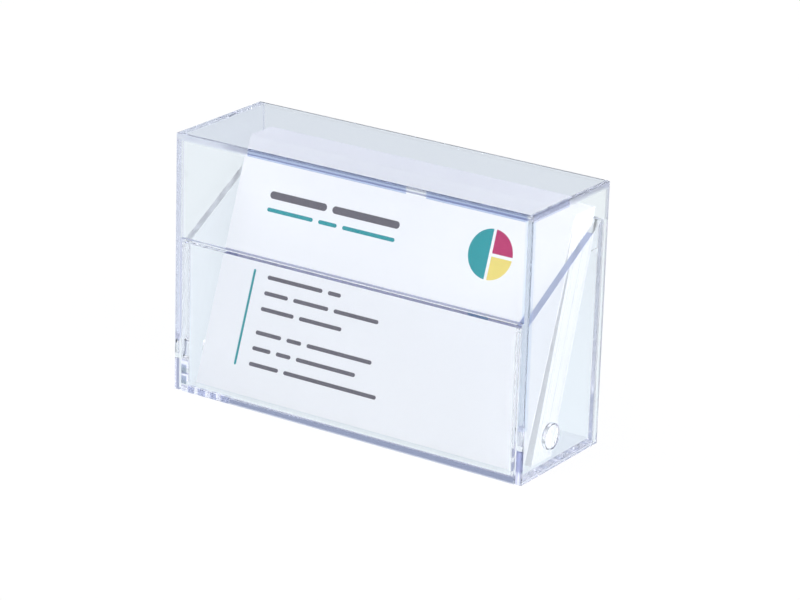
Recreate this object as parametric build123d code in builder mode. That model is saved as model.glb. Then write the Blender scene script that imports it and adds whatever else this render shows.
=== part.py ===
from build123d import *
import math
import os

# Clear hinged business card case that opens into a stand, with the cards it holds.
# Millimetres. +X is the case's width, -Y its front, +Z up; the origin is the middle of the base.
# The case is made round its cards: its outside follows from them, the room they have and the walls.

# Cards
card_width = 85.0
card_height = 55.0
card_thickness = 0.3
card_spacing = 0.02  # air between neighbouring cards
pile_count = 24
pile_lean = 16.2  # degrees back from upright
front_card_gap = 3.28  # foot of the front card in front of the pile's foot
card_stagger = 0.1
stagger_shares = (0.0, 0.7, -0.4, 0.3, -0.9, 0.5, 1.0, -0.6, 0.1)

# Room round the cards
card_rest_gap = 0.1  # between the pile and the tray's floor, and the edge that it leans on
card_side_room = 0.7
card_head_room = 4.7
front_card_setback = 2.4  # foot of the front card behind the tray's front wall

# Tray
tray_wall = 1.5
tray_floor = 1.6
tray_front_height = 35.6
tray_back_drop = 7.3  # top of the back wall below the cover's top
pocket_radius = 0.5
edge_radius = 0.4

# Cover
cover_wall = 1.5
cover_lift = 0.3  # lower edge above the table
side_gap = 0.3  # between the tray's and the cover's side walls

# Hinge: studs moulded on the tray, turning in holes of the cover
hinge_from_front = 12.0
hinge_height = 7.8
stud_radius = 3.0
stud_clearance = 0.05
stud_recess = 0.15  # stud end inside the cover's outer face
stud_chamfer = 0.3
swing_clearance = 0.25  # between the cover's front wall and the tray's rim as it swings past

# Snap ribs on the tray's sides
snap_length = 4.4
snap_height = 1.4
snap_proud = 0.2
snap_from_back = 3.4  # middle of the rib
snap_drop = 6.5  # middle of the rib below the top of the back wall

overrun = 5.0  # how far cuts run past what they cut

os.makedirs("parts", exist_ok=True)

# Pile of cards: how high it stands, and how far it runs from its foot to the top of the back wall
pile_tilt = math.radians(pile_lean)
card_pitch = (card_thickness + card_spacing) / math.cos(pile_tilt)
pile_depth = pile_count * card_pitch
card_floor = tray_floor + card_rest_gap
pile_top = card_floor + card_height * math.cos(pile_tilt) + card_thickness * math.sin(pile_tilt)
tray_back_height = pile_top + card_head_room - tray_back_drop
pile_run = (tray_back_height - card_floor) * math.tan(pile_tilt)

# Case round the cards
pocket_width = card_width + 2 * card_side_room
pocket_depth = front_card_setback + front_card_gap + pile_depth + pile_run + card_rest_gap
tray_width = pocket_width + 2 * tray_wall
cover_inner_width = tray_width + 2 * side_gap
case_width = cover_inner_width + 2 * cover_wall
case_depth = pocket_depth + 2 * tray_wall
case_height = pile_top + card_head_room + cover_wall
front = -case_depth / 2
back = case_depth / 2
hinge_y = front + hinge_from_front
sides = (-1, 1)

# The inner lower edge of the cover's front wall swings past the outer edge of the tray's rim
rim_swing = math.hypot(hinge_from_front, tray_front_height - hinge_height) + swing_clearance
cover_front_bottom = hinge_height + math.sqrt(rim_swing**2 - (hinge_from_front - cover_wall) ** 2)

# Tray: its side outline drawn across the width, hollowed, with a stud and a snap rib on each side
with BuildPart() as tray:
    with BuildSketch(Plane.YZ):
        with BuildLine():
            Polyline(
                (front, 0),
                (back, 0),
                (back, tray_back_height),
                (back - tray_wall, tray_back_height),
                (front + tray_wall, tray_front_height),
                (front, tray_front_height),
                close=True,
            )
        make_face()
    extrude(amount=tray_width / 2, both=True)
    fillet(tray.edges().filter_by(Axis.Z).group_by(Axis.Y)[0], edge_radius)
    fillet(tray.edges().filter_by(Axis.Z).group_by(Axis.Y)[-1], edge_radius)
    fillet(tray.faces().sort_by(Axis.Z)[0].edges(), edge_radius)
    with BuildSketch(Plane.XY.offset(tray_floor)):
        RectangleRounded(pocket_width, pocket_depth, pocket_radius)
    extrude(amount=case_height, mode=Mode.SUBTRACT)
    for side in sides:
        outward = Axis((0, 0, 0), (side, 0, 0))
        with BuildSketch(Plane.YZ.offset(side * tray_width / 2)):
            with Locations((back - snap_from_back, tray_back_height - snap_drop)):
                SlotOverall(snap_length, snap_height)
        extrude(amount=side * snap_proud)
        with BuildSketch(Plane.YZ.offset(side * tray_width / 2)):
            with Locations((hinge_y, hinge_height)):
                Circle(stud_radius)
        extrude(amount=side * (side_gap + cover_wall - stud_recess))
        chamfer(tray.faces().sort_by(outward)[-1].edges(), stud_chamfer)
tray.part.label = "tray"
export_step(tray.part, "parts/tray.step")

# Cover: a block with rounded edges, opened below, behind and under its front wall
with BuildPart() as cover:
    with BuildSketch(Plane.XY.offset(cover_lift)):
        Rectangle(case_width, case_depth)
    extrude(amount=case_height - cover_lift)
    fillet(cover.edges().filter_by(Axis.Z), edge_radius)
    fillet(cover.faces().sort_by(Axis.Z)[-1].edges(), edge_radius)
    with BuildSketch(Plane.YZ):
        with BuildLine():
            Polyline(
                (front - overrun, cover_lift - overrun),
                (back + overrun, cover_lift - overrun),
                (back + overrun, case_height - cover_wall),
                (front + cover_wall, case_height - cover_wall),
                (front + cover_wall, cover_front_bottom),
                (front - overrun, cover_front_bottom),
                close=True,
            )
        make_face()
    extrude(amount=cover_inner_width / 2, both=True, mode=Mode.SUBTRACT)
    with BuildSketch(Plane.YZ):
        with Locations((hinge_y, hinge_height)):
            Circle(stud_radius + stud_clearance)
    extrude(amount=case_width, both=True, mode=Mode.SUBTRACT)
cover.part.label = "cover"
export_step(cover.part, "parts/cover.step")


def lean_plane(foot_x, foot_y, lean):
    """Plane of a card's back face: origin at the middle of its foot, leaning back from upright."""
    tilt = math.radians(lean)
    foot = (foot_x, foot_y, card_floor)
    return Plane(origin=foot, x_dir=(1, 0, 0), z_dir=(0, -math.cos(tilt), math.sin(tilt)))


# Pile of cards: the rear one leans on the top of the tray's back wall, the others stand in front of it
rear_foot = back - tray_wall - card_rest_gap - pile_run
for number in range(1, pile_count + 1):
    stagger = card_stagger * stagger_shares[number % len(stagger_shares)]
    foot_y = rear_foot - (pile_count - number) * card_pitch
    with BuildPart() as card:
        with BuildSketch(lean_plane(stagger, foot_y, pile_lean)):
            Rectangle(card_width, card_height, align=(Align.CENTER, Align.MIN))
        extrude(amount=card_thickness)
    card.part.label = f"business_card_{number:02d}"
    export_step(card.part, f"parts/{card.part.label}.step")

# Front card: its foot near the tray's front wall, the back of its top edge resting on the pile
front_foot = front + tray_wall + front_card_setback
lean_over = math.asin(front_card_gap * math.cos(pile_tilt) / card_height)
with BuildPart() as front_card:
    with BuildSketch(lean_plane(0, front_foot, pile_lean + math.degrees(lean_over))):
        Rectangle(card_width, card_height, align=(Align.CENTER, Align.MIN))
    extrude(amount=card_thickness)
front_card.part.label = "front_business_card"
export_step(front_card.part, "parts/front_business_card.step")

print("case", round(case_width, 2), "x", round(case_depth, 2), "x", round(case_height, 2))
print("cover front wall starts at", round(cover_front_bottom, 2))
print("front card leans", round(pile_lean + math.degrees(lean_over), 2))
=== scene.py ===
import math

import bpy
from mathutils import Matrix, Vector


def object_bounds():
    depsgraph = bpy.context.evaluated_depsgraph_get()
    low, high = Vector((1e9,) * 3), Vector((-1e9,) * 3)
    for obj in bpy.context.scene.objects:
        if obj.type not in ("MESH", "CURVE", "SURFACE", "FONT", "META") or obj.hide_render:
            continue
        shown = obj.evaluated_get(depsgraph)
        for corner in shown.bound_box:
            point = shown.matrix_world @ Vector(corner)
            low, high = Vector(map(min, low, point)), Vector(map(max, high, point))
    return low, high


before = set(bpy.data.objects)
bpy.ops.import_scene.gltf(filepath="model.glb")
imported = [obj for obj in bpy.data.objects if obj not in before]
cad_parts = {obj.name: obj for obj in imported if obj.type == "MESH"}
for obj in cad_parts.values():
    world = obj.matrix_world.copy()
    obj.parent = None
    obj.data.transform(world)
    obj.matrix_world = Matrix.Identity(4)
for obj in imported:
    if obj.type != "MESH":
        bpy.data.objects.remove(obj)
cad_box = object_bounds()
scene = bpy.context.scene
MM = 0.001

# Camera, matched to the photograph
IMAGE_WIDTH_PX = 800
FOCAL_PX = 3600
SENSOR_MM = 36.0
CAMERA_AZIMUTH = 33.523  # degrees from the front towards +X
CAMERA_ELEVATION = 19.769
CAMERA_ROLL = 1.759
CAMERA_DISTANCE = 791.76 * MM
CAMERA_TARGET = Vector((3.746, 0.0, 28.360)) * MM
CAMERA_CLIP = (0.05, 50.0)  # nearest and furthest that it sees, in metres

# The case, in millimetres
FRONT = cad_box[0][1] / MM
BACK = cad_box[1][1] / MM
TOP = cad_box[1][2] / MM
WALL = 1.5
RIM = 35.6  # top of the tray's front wall
TRAY_BACK = 52.0  # top of its back wall
HINGE = (FRONT + 12.0, 7.8)  # in Y and Z
STUD_RADIUS = 3.0
STUD_START = 46.0  # in X: of the tray, only the ends of its studs lie further out

# Clear plastic
PLASTIC_IOR = 1.57
PLASTIC_CLEARNESS = 0.998
PLASTIC_DENSITY = 4.0  # absorption per metre of a colour that the tint takes out whole
PLASTIC_TINT = (0.50, 0.52, 0.78)
PLASTIC_SURFACE = (0.975, 0.982, 1.0)
PLASTIC_SHADOW = (0.96, 0.97, 0.98)  # share of a lamp's light that passes each surface
PLASTIC_GLOSS = (0.28, 0.29, 0.31)  # share of the plain reflection, rising to all of it at glancing angles
HAZE_SCALE = 900.0
HAZE_DETAIL = 3.0
HAZE_ROUGHNESS = 0.012
WAVE_SCALE = 45.0
WAVE_DETAIL = 1.0
WAVE_STRENGTH = 0.03
WAVE_HEIGHT = 0.05 * MM

# Edges of the plastic, in millimetres, where its gloss differs and where painted shade darkens and blues
# its colour, for the look that light gives clear edges
COVER_LEFT = (-46.6, -44.9)
COVER_RIGHT = (44.9, 46.6)
COVER_RIGHT_FACE = (46.05, 46.6)
COVER_REAR = (BACK - 0.8, BACK + 0.1)
COVER_UPRIGHT = (12.5, TOP - 1.4)
COVER_TOP = (TOP - 1.6, TOP + 0.1)
TRAY_LEFT = (-44.8, -43.0)
TRAY_RIGHT = (43.0, 44.8)
TRAY_FOOT = (-0.1, 1.7)
TRAY_FOOT_BARS = ((-42.5, -40.9), (-39.7, -37.7), (-36.3, -34.6), (-33.3, -31.0))
TRAY_UPRIGHT = (0.4, TRAY_BACK)
FRONT_EDGE = (FRONT - 0.1, FRONT + 1.6)
FRONT_FACE = (FRONT - 0.1, FRONT + 0.45)
REAR_EDGE = (BACK - 0.6, BACK + 0.1)
# Colours of painted shade on the edges
BLUE_PAINTED_SHADE = (0.30, 0.38, 0.66)
CORNER_PAINTED_SHADE = (0.20, 0.25, 0.33)
FOOT_PAINTED_SHADE = (0.34, 0.38, 0.58)
# Each with its ranges in X, Y and Z, its colour, which is painted shade on all but the tray's rear
# uprights, and the roughness that it adds
COVER_EDGES = (
    # Upper front edge, from left to right
    ((-46.4, -26.9), FRONT_FACE, COVER_TOP, (0.86, 0.88, 1.0), 0.3),
    ((-26.9, 14.8), FRONT_FACE, COVER_TOP, BLUE_PAINTED_SHADE, 0.0),
    ((20.0, 45.3), FRONT_FACE, COVER_TOP, BLUE_PAINTED_SHADE, 0.0),
    # Front uprights, and a bar low on the right one
    (COVER_LEFT, FRONT_EDGE, COVER_UPRIGHT, (0.78, 0.79, 0.96), 0.25),
    (COVER_RIGHT, FRONT_EDGE, COVER_UPRIGHT, (0.78, 0.87, 1.0), 0.2),
    (COVER_RIGHT, FRONT_FACE, (3.2, 8.1), (0.26, 0.29, 0.50), 0.1),
    # Upper right edge, its front part and its rear part
    (COVER_RIGHT_FACE, (FRONT + 0.5, -1.0), COVER_TOP, (0.55, 0.60, 0.85), 0.25),
    (COVER_RIGHT_FACE, (-1.0, BACK - 0.8), COVER_TOP, (0.90, 0.93, 1.0), 0.3),
    # Lower edge of the front wall
    ((-33.0, 44.9), FRONT_EDGE, (RIM + 0.7, RIM + 1.05), (0.20, 0.22, 0.40), 0.35),
    # Rear edges: along the top, and the right upright below and above the tray's back wall
    ((-46.0, 45.2), COVER_REAR, (TOP - 0.8, TOP + 0.1), (0.20, 0.22, 0.26), 0.5),
    ((45.9, 46.6), REAR_EDGE, (0.5, TRAY_BACK), (0.62, 0.62, 0.74), 0.3),
    (COVER_RIGHT, COVER_REAR, (TRAY_BACK, TOP - 0.8), (0.55, 0.57, 0.66), 0.4),
)
# Painted shade on the tray's edges, with matt rear uprights
TRAY_EDGES = (
    # Front rim
    ((-33.0, 44.8), FRONT_EDGE, (RIM - 0.02, RIM + 0.1), (0.06, 0.065, 0.18), 0.0),
    # Two bars in the lower left corner
    (TRAY_LEFT, FRONT_EDGE, (4.4, 6.6), CORNER_PAINTED_SHADE, 0.1),
    (TRAY_LEFT, FRONT_EDGE, (2.0, 3.9), CORNER_PAINTED_SHADE, 0.1),
    # Painted shade along the foot of the front wall, which breaks up into bars at its left end
    ((-33.3, 44.8), FRONT_FACE, (0.5, 1.7), (0.55, 0.60, 0.68), 0.0),
    *((bar, FRONT_EDGE, TRAY_FOOT, FOOT_PAINTED_SHADE, 0.15) for bar in TRAY_FOOT_BARS),
    # Rear uprights
    (TRAY_LEFT, REAR_EDGE, TRAY_UPRIGHT, PLASTIC_SURFACE, 0.9),
    (TRAY_RIGHT, REAR_EDGE, TRAY_UPRIGHT, PLASTIC_SURFACE, 0.9),
)
STUD_RING = (STUD_RADIUS - 0.1, 0.25)  # middle and half width of the ring of painted shade on a stud's end
# Painted shade for the dark outline of the studs' ends
STUD_PAINTED_SHADE = (0.22, 0.24, 0.30)
# The tray's slanted edges, which are matt, and the right one with painted shade where the cards are behind
# it
SLANT_FOOT = (FRONT + WALL, RIM)  # where they start, in Y and Z
SLANT_CLIMB = (TRAY_BACK - RIM) / (BACK - FRONT - 2 * WALL)
SLANT_SIDE = (43.95, 0.85)  # middle and half width in X
SLANT_REACH = 0.1  # how far above and below the slanted line still counts
SLANT_DARK = (TRAY_RIGHT, (FRONT + WALL, 10.7), (RIM - 0.2, TRAY_BACK))
SLANT_PAINTED_SHADE = (0.36, 0.42, 0.78)
SLANT_ROUGHNESS = 0.28

# White card
PAPER_DARK = (0.885, 0.892, 0.905)
PAPER_PALE = (0.925, 0.932, 0.945)
PAPER_ROUGHNESS = 0.75
PAPER_GLOSS = 0.2
FIBRE_SCALE = 2500.0
FIBRE_DETAIL = 4.0
FIBRE_STRENGTH = 0.2
FIBRE_HEIGHT = 0.02 * MM

# Print on the front card, in millimetres: u to the right of its middle, v up its slope from its foot
CARD_FOOT_Y = FRONT + 3.9
CARD_FOOT_Z = 1.7
CARD_LEAN = math.radians(19.48)
CARD_MIDDLE = -0.15  # in Y from the card's back face; what lies before it is printed
INK_COVER = 0.95  # share of the paper that ink hides, and what bright fibres add to it
INK_FIBRES = 0.06
INK_SMOOTHING = 0.25  # how much less rough ink is than bare card
INK_GREY = (0.115, 0.105, 0.130)
INK_TEAL = (0.0, 0.300, 0.330)
INK_MAGENTA = (0.480, 0.008, 0.120)
INK_YELLOW = (0.840, 0.690, 0.170)
EMBLEM = (25.5, 44.0, 5.6)  # middle and radius of the disc
EMBLEM_GAP = 0.35  # half the width of the white between its parts
HEADING = (-33.5, 45.4, 1.7, (15.5, 18.0))  # left end, middle, height and the words' lengths
SUBHEADING = (-33.5, 42.0, 0.9, (12.5, 5.0, 14.0))
TEXT_LEFT = -29.5
TEXT_HEIGHT = 0.9
TEXT_ROWS = (  # middle and the words' lengths
    (27.2, (15.0, 3.5)),
    (23.6, (6.5, 9.5, 12.0)),
    (20.0, (9.0, 11.5)),
    (14.6, (7.0, 4.0, 17.5)),
    (11.0, (5.0, 4.0, 16.0)),
    (7.4, (8.0, 25.0)),
)
WORD_GAP = 1.5
RULE_MIDDLE = (-33.2, 17.3)  # the upright line beside the text
RULE_SIZE = (0.6, 22.0)

# Floor and surroundings
FLOOR_SIZE = 8.0
FLOOR_DROP = 0.06 * MM  # air under the tray, so that its lower edges reflect
FLOOR_WHITE = (0.92, 0.92, 0.92)
FLOOR_NEAR = (0.90, 0.97, 0.99)  # what shows through the plastic and in it, by distance from the middle
FLOOR_FAR = (0.84, 0.895, 0.90)
FLOOR_FADE = (0.03, 0.16)  # in metres
FLOOR_SHARE = 0.93  # how much of what is seen there is even, without shadows
SKY_WHITE = (1.0, 1.0, 1.0)
SKY_FRONT = (0.95, 0.96, 1.0)
SKY_BACK = (0.44, 0.48, 0.63)
SKY_CLIMB = (0.02, 0.12)  # from the white horizon to the sky's own colours, by the direction's Z
SKY_TURN = (-0.2, 0.4)  # from its front colour to its back colour, by the direction's Y

# Lamps: name, place in metres, width, power and colour
LAMP_WHITE = (1.0, 1.0, 1.0)
LAMP_WARM = (1.0, 0.98, 0.94)
LAMP_AIM = Vector((0.0, 0.0, 0.03))
LAMPS = (
    ("top_light", (0.0, 0.0, 1.5), 1.2, 2.5, LAMP_WHITE),
    ("front_light", (0.7, -1.1, 0.9), 0.9, 0.4, LAMP_WHITE),
    ("back_light", (0.3, 1.4, 1.0), 1.8, 6.0, LAMP_WHITE),
    ("left_light", (-1.25, -0.5, 0.35), 1.3, 10.3, LAMP_WHITE),
    ("right_light", (1.3, -0.2, 0.5), 0.9, 12.6, LAMP_WARM),
)
LIGHT_BOUNCES = 64  # light runs a long way inside the clear walls


def make_camera():
    """The camera of the photograph."""
    azimuth = math.radians(CAMERA_AZIMUTH)
    elevation = math.radians(CAMERA_ELEVATION)
    roll = math.radians(CAMERA_ROLL)
    back = Vector((
        math.sin(azimuth) * math.cos(elevation),
        -math.cos(azimuth) * math.cos(elevation),
        math.sin(elevation),
    ))
    level = Vector((math.cos(azimuth), math.sin(azimuth), 0.0))
    upward = back.cross(level)
    right = math.cos(roll) * level + math.sin(roll) * upward
    up = math.cos(roll) * upward - math.sin(roll) * level
    data = bpy.data.cameras.new("camera")
    data.sensor_width = SENSOR_MM
    data.lens = FOCAL_PX / IMAGE_WIDTH_PX * SENSOR_MM
    data.clip_start, data.clip_end = CAMERA_CLIP
    camera = bpy.data.objects.new("camera", data)
    turn = Matrix((right, up, back)).transposed().to_4x4()
    camera.matrix_world = Matrix.Translation(CAMERA_TARGET + CAMERA_DISTANCE * back) @ turn
    scene.collection.objects.link(camera)
    scene.camera = camera


class Shading:
    """A node tree being filled, with short ways to add and join nodes."""

    def __init__(self, owner):
        owner.use_nodes = True
        self.tree = owner.node_tree
        self.tree.nodes.clear()

    def add(self, kind, inputs=None, **settings):
        """A new node, with each input joined to a socket or set to a value."""
        node = self.tree.nodes.new("ShaderNode" + kind)
        for name, value in settings.items():
            setattr(node, name, value)
        for name, value in (inputs or {}).items():
            socket = node.inputs[name]
            if isinstance(value, bpy.types.NodeSocket):
                self.tree.links.new(value, socket)
            elif socket.type == "RGBA":
                socket.default_value = (*value, 1.0)
            else:
                socket.default_value = value
        return node

    def maths(self, operation, first, second=0.0, third=0.0):
        return self.add("Math", {0: first, 1: second, 2: third}, operation=operation).outputs[0]

    def length(self, first, second):
        """The distance that two offsets at right angles make."""
        square = self.maths("MULTIPLY", second, second)
        return self.maths("SQRT", self.maths("MULTIPLY_ADD", first, first, square))

    def mix(self, share, first, second):
        """The first colour where the share is nought, the second where it is one."""
        return self.add("MixRGB", {"Fac": share, "Color1": first, "Color2": second}).outputs[0]

    def fade(self, value, ends):
        """Nought up to the first end, one from the second on."""
        inputs = {"Value": value, "From Min": ends[0], "From Max": ends[1]}
        return self.add("MapRange", inputs).outputs["Result"]

    def noise(self, place, scale, detail):
        return self.add("TexNoise", {"Vector": place, "Scale": scale, "Detail": detail}).outputs["Fac"]

    def bump(self, height, strength, distance):
        inputs = {"Height": height, "Strength": strength, "Distance": distance}
        return self.add("Bump", inputs).outputs["Normal"]

    def place(self):
        """Where the point is in its object, which is in metres."""
        return self.add("TexCoord").outputs["Object"]

    def axes_mm(self, place):
        """The place's X, Y and Z in millimetres."""
        scaled = self.add("VectorMath", {0: place, "Scale": 1 / MM}, operation="SCALE").outputs[0]
        return self.add("SeparateXYZ", {"Vector": scaled}).outputs


def box_mask(shading, axes, *ranges):
    """One inside the box of ranges in X, Y and Z, nought outside."""
    mask = 1.0
    for axis, (first, last) in zip("XYZ", ranges):
        inside = shading.maths("COMPARE", axes[axis], (first + last) / 2, (last - first) / 2)
        mask = shading.maths("MULTIPLY", mask, inside)
    return mask


def slant_mask(shading, axes):
    """One on the tray's two slanted edges, nought elsewhere."""
    start = SLANT_FOOT[1] - SLANT_CLIMB * SLANT_FOOT[0]
    line = shading.maths("MULTIPLY_ADD", axes["Y"], SLANT_CLIMB, start)
    above = shading.maths("SUBTRACT", axes["Z"], line)
    on_top = shading.maths("COMPARE", above, 0.0, SLANT_REACH)
    on_side = shading.maths("COMPARE", shading.maths("ABSOLUTE", axes["X"]), *SLANT_SIDE)
    return shading.maths("MULTIPLY", on_top, on_side)


def stud_mask(shading, axes):
    """One on a ring round the ends of the hinge studs, where shade is painted, nought elsewhere."""
    away_y = shading.maths("SUBTRACT", axes["Y"], HINGE[0])
    away_z = shading.maths("SUBTRACT", axes["Z"], HINGE[1])
    ring = shading.maths("COMPARE", shading.length(away_y, away_z), *STUD_RING)
    outside = shading.maths("GREATER_THAN", shading.maths("ABSOLUTE", axes["X"]), STUD_START)
    return shading.maths("MULTIPLY", ring, outside)


def clear_plastic(name, edges, tray=False):
    """Faintly tinted clear plastic, hazy and wavy, whose edges have gloss of their own and painted shade
    in their colour.
    """
    material = bpy.data.materials.new(name)
    shading = Shading(material)
    place = shading.place()
    axes = shading.axes_mm(place)
    masks = [(box_mask(shading, axes, *ranges), painted_shade, rough) for *ranges, painted_shade, rough in edges]
    haze = shading.noise(place, HAZE_SCALE, HAZE_DETAIL)
    roughness = shading.maths("MULTIPLY", haze, HAZE_ROUGHNESS)
    if tray:
        masks.append((stud_mask(shading, axes), STUD_PAINTED_SHADE, 0.0))
        slant = slant_mask(shading, axes)
        roughness = shading.maths("MULTIPLY_ADD", slant, SLANT_ROUGHNESS, roughness)
        # Painted shade on the right slanted edge, where the cards are behind it
        dark_slant = shading.maths("MULTIPLY", slant, box_mask(shading, axes, *SLANT_DARK))
        masks.append((dark_slant, SLANT_PAINTED_SHADE, 0.0))
    colour = PLASTIC_SURFACE
    # Painted shade: each mask darkens and blues the plastic's colour on its edge
    for mask, painted_shade, rough in masks:
        colour = shading.mix(mask, colour, painted_shade)
        if rough:
            roughness = shading.maths("MULTIPLY_ADD", mask, rough, roughness)
    waves = shading.noise(place, WAVE_SCALE, WAVE_DETAIL)
    glass = shading.add("BsdfPrincipled", {
        "Base Color": colour,
        "Roughness": roughness,
        "IOR": PLASTIC_IOR,
        "Specular Tint": PLASTIC_GLOSS,
        "Transmission Weight": PLASTIC_CLEARNESS,
        "Normal": shading.bump(waves, WAVE_STRENGTH, WAVE_HEIGHT),
    })
    clear = shading.add("BsdfTransparent", {"Color": PLASTIC_SHADOW})
    shadow = shading.add("LightPath").outputs["Is Shadow Ray"]
    surface = shading.add("MixShader", {0: shadow, 1: glass.outputs[0], 2: clear.outputs[0]})
    inside = shading.add("VolumeAbsorption", {"Color": PLASTIC_TINT, "Density": PLASTIC_DENSITY})
    shading.add("OutputMaterial", {"Surface": surface.outputs[0], "Volume": inside.outputs[0]})
    return material


def card_paper(name, inks=None):
    """White card, with the printed colours that inks(shading, u, v) yields as pairs of mask and colour."""
    material = bpy.data.materials.new(name)
    shading = Shading(material)
    place = shading.place()
    fibres = shading.noise(place, FIBRE_SCALE, FIBRE_DETAIL)
    colour = shading.mix(fibres, PAPER_DARK, PAPER_PALE)
    roughness = PAPER_ROUGHNESS
    if inks:
        axes = shading.axes_mm(place)
        rise = shading.maths("SUBTRACT", axes["Z"], CARD_FOOT_Z)
        v = shading.maths("DIVIDE", rise, math.cos(CARD_LEAN))
        back_face = shading.maths("MULTIPLY_ADD", rise, math.tan(CARD_LEAN), CARD_FOOT_Y)
        depth = shading.maths("SUBTRACT", axes["Y"], back_face)
        front = shading.maths("LESS_THAN", depth, CARD_MIDDLE)
        hidden = shading.maths("MULTIPLY_ADD", fibres, INK_FIBRES, INK_COVER)
        inked = 0.0
        for mask, ink in inks(shading, axes["X"], v):
            share = shading.maths("MULTIPLY", shading.maths("MULTIPLY", mask, front), hidden)
            colour = shading.mix(share, colour, ink)
            inked = shading.maths("MAXIMUM", inked, share)
        roughness = shading.maths("MULTIPLY_ADD", inked, -INK_SMOOTHING, PAPER_ROUGHNESS)
    paper = shading.add("BsdfPrincipled", {
        "Base Color": colour,
        "Roughness": roughness,
        "Specular IOR Level": PAPER_GLOSS,
        "Normal": shading.bump(fibres, FIBRE_STRENGTH, FIBRE_HEIGHT),
    })
    shading.add("OutputMaterial", {"Surface": paper.outputs[0]})
    return material


def past(shading, value, middle, half):
    """How far the value is more than half away from the middle, nought where it isn't."""
    away = shading.maths("ABSOLUTE", shading.maths("SUBTRACT", value, middle))
    return shading.maths("MAXIMUM", shading.maths("SUBTRACT", away, half), 0.0)


def oblong(shading, u, v, middle, size):
    """A bar with round ends, along its longer side."""
    radius = min(size) / 2
    past_u = past(shading, u, middle[0], size[0] / 2 - radius)
    past_v = past(shading, v, middle[1], size[1] / 2 - radius)
    return shading.maths("LESS_THAN", shading.length(past_u, past_v), radius)


def words(shading, u, v, left, middle, height, lengths):
    """A row of plain bars that stand for words."""
    row = 0.0
    for length in lengths:
        bar = oblong(shading, u, v, (left + length / 2, middle), (length, height))
        row = shading.maths("MAXIMUM", row, bar)
        left += length + WORD_GAP
    return row


def card_print(shading, u, v):
    """A plain print: a disc in three colours, bars for words, and an upright line."""
    u_middle, v_middle, radius = EMBLEM
    du = shading.maths("SUBTRACT", u, u_middle)
    dv = shading.maths("SUBTRACT", v, v_middle)
    disc = shading.maths("LESS_THAN", shading.length(du, dv), radius)
    left = shading.maths("LESS_THAN", du, -EMBLEM_GAP)
    right = shading.maths("GREATER_THAN", du, EMBLEM_GAP)
    upper = shading.maths("MULTIPLY", right, shading.maths("GREATER_THAN", dv, EMBLEM_GAP))
    lower = shading.maths("MULTIPLY", right, shading.maths("LESS_THAN", dv, -EMBLEM_GAP))
    yield shading.maths("MULTIPLY", disc, left), INK_TEAL
    yield shading.maths("MULTIPLY", disc, upper), INK_MAGENTA
    yield shading.maths("MULTIPLY", disc, lower), INK_YELLOW
    yield words(shading, u, v, *HEADING), INK_GREY
    yield words(shading, u, v, *SUBHEADING), INK_TEAL
    for middle, lengths in TEXT_ROWS:
        yield words(shading, u, v, TEXT_LEFT, middle, TEXT_HEIGHT, lengths), INK_GREY
    yield oblong(shading, u, v, RULE_MIDDLE, RULE_SIZE), INK_TEAL


def dress(node, material):
    """Gives a CAD node this material alone."""
    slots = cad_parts[node].data.materials
    slots.clear()
    slots.append(material)


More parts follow.
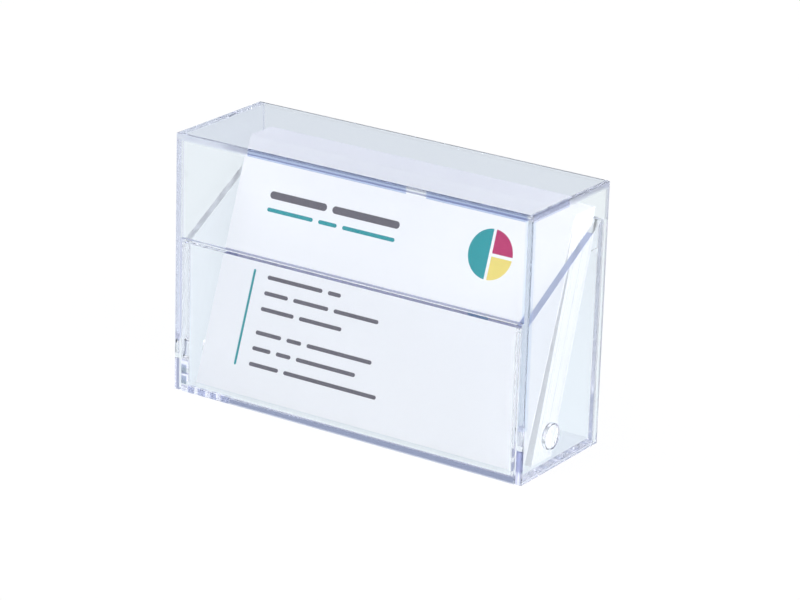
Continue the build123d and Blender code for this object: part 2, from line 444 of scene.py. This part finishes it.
def make_floor():
    """A white floor. The camera looks through most of it to the white surroundings, so shadows are faint.
    Seen in the plastic or through it, most of it is an even glow. To other light it is plain white."""
    half = FLOOR_SIZE / 2
    corners = [(-half, -half), (half, -half), (half, half), (-half, half)]
    mesh = bpy.data.meshes.new("floor")
    mesh.from_pydata([(x, y, -FLOOR_DROP) for x, y in corners], [], [(0, 1, 2, 3)])
    floor = bpy.data.objects.new("floor", mesh)
    scene.collection.objects.link(floor)
    material = bpy.data.materials.new("floor_white")
    shading = Shading(material)
    ray = shading.add("LightPath").outputs
    seen = shading.maths("MAXIMUM", ray["Is Camera Ray"], ray["Is Glossy Ray"])
    seen = shading.maths("MAXIMUM", seen, ray["Is Transmission Ray"])
    share = shading.maths("MULTIPLY", seen, FLOOR_SHARE)
    away = shading.add("VectorMath", {0: shading.place()}, operation="LENGTH").outputs["Value"]
    colour = shading.mix(shading.fade(away, FLOOR_FADE), FLOOR_NEAR, FLOOR_FAR)
    glow = shading.add("Emission", {"Color": colour, "Strength": 1.0})
    clear = shading.add("BsdfTransparent")
    even = shading.add("MixShader", {0: ray["Is Camera Ray"], 1: glow.outputs[0], 2: clear.outputs[0]})
    plain = shading.add("BsdfDiffuse", {"Color": FLOOR_WHITE})
    surface = shading.add("MixShader", {0: share, 1: plain.outputs[0], 2: even.outputs[0]})
    shading.add("OutputMaterial", {"Surface": surface.outputs[0]})
    mesh.materials.append(material)


def make_surroundings():
    """White to the camera. To all other rays a white horizon, a sky that darkens towards the back, and the
    floor's own colour below."""
    world = bpy.data.worlds.new("studio")
    scene.world = world
    shading = Shading(world)
    direction = shading.add("TexCoord").outputs["Generated"]
    axes = shading.add("SeparateXYZ", {"Vector": direction}).outputs
    high = shading.mix(shading.fade(axes["Y"], SKY_TURN), SKY_FRONT, SKY_BACK)
    sky = shading.mix(shading.fade(axes["Z"], SKY_CLIMB), SKY_WHITE, high)
    below = shading.maths("LESS_THAN", axes["Z"], 0.0)
    around = shading.mix(below, sky, FLOOR_FAR)
    seen = shading.add("LightPath").outputs["Is Camera Ray"]
    colour = shading.mix(seen, around, SKY_WHITE)
    background = shading.add("Background", {"Color": colour, "Strength": 1.0})
    shading.add("OutputWorld", {"Surface": background.outputs[0]})


def make_lamps():
    """Soft square lamps that face the case."""
    for name, place, size, power, colour in LAMPS:
        data = bpy.data.lights.new(name, "AREA")
        data.size = size
        data.energy = power
        data.color = colour
        lamp = bpy.data.objects.new(name, data)
        lamp.location = place
        lamp.rotation_euler = (LAMP_AIM - Vector(place)).to_track_quat("-Z", "Y").to_euler()
        scene.collection.objects.link(lamp)


scene.view_settings.view_transform = "Standard"
scene.cycles.max_bounces = LIGHT_BOUNCES
scene.cycles.transmission_bounces = LIGHT_BOUNCES
scene.cycles.glossy_bounces = LIGHT_BOUNCES
scene.cycles.transparent_max_bounces = LIGHT_BOUNCES
make_camera()
make_floor()
make_surroundings()
make_lamps()
plain_card = card_paper("card_paper")
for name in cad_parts:
    dress(name, plain_card)
dress("front_business_card", card_paper("printed_card", card_print))
dress("tray", clear_plastic("tray_plastic", TRAY_EDGES, tray=True))
dress("cover", clear_plastic("cover_plastic", COVER_EDGES))
